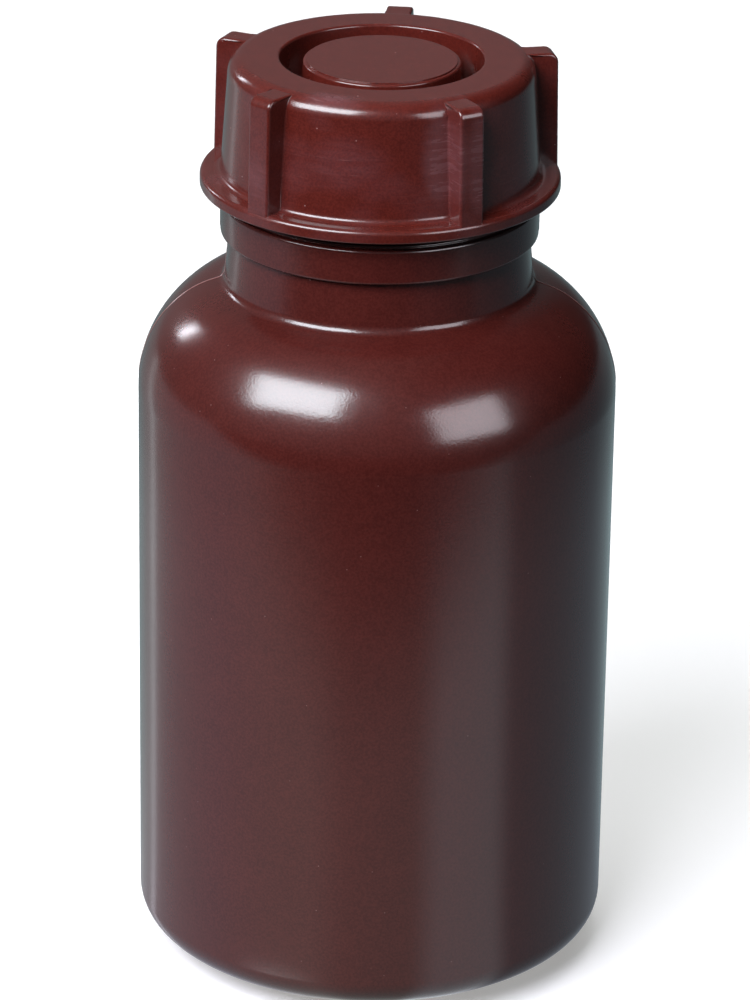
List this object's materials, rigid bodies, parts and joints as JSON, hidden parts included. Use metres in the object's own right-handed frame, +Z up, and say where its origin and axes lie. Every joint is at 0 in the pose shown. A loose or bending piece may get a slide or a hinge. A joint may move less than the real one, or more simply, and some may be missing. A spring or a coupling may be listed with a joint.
{
  "type": "wide mouth bottle",
  "caption": "Round wide-mouth laboratory bottle in opaque brown plastic, with a collared neck and a flanged, ribbed screw cap that lifts off.",
  "frame": {"origin": "on the bottle's axis, on the surface that it stands on", "axes": "+Z up along the bottle's axis; -Y faces the viewer of the picture, +X to that viewer's right"},
  "size_m": [0.078, 0.078, 0.1542],
  "materials": {
    "bottle_hdpe": "blow-moulded high-density polyethylene, reddish brown, satin",
    "cap_hdpe": "injection-moulded high-density polyethylene, reddish brown, slightly glossier than the bottle"
  },
  "bodies": {
    "bottle": {"bottle": "bottle_hdpe"},
    "cap": {"screw_cap": "cap_hdpe"}
  },
  "joints": [
    {"name": "cap_lift", "type": "slide", "parent": "bottle", "child": "cap", "axis": [0, 0, 1], "range_m": [0, 0.05]}
  ]
}
